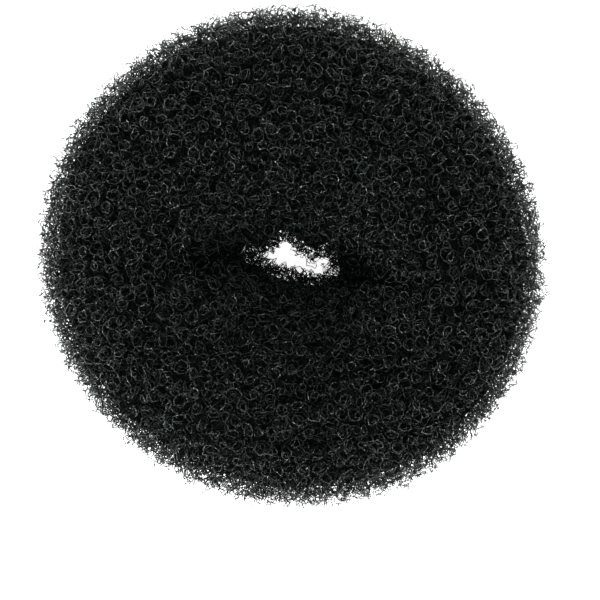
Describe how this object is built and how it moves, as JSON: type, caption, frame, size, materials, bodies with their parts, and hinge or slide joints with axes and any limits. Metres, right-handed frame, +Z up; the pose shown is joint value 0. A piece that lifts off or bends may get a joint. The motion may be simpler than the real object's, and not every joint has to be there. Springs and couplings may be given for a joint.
{
  "type": "hair donut bun maker",
  "caption": "Padded ring of springy curled nylon mesh that a hair bun is wrapped round, with a slit-like hole through its middle for a ponytail.",
  "frame": {"origin": "middle of the ring's outline, on the surface that its flattened underside rests on", "axes": "+Z up through the hole, +X along the slit of the hole, +Y across it, towards the top of the picture"},
  "size_m": [0.1, 0.099, 0.042],
  "materials": {
    "curled_mesh": "black open mesh of fine curled nylon filament, each filament half gloss, the mesh matte from afar"
  },
  "bodies": {
    "root": {"mesh_ring": "curled_mesh"}
  },
  "joints": []
}
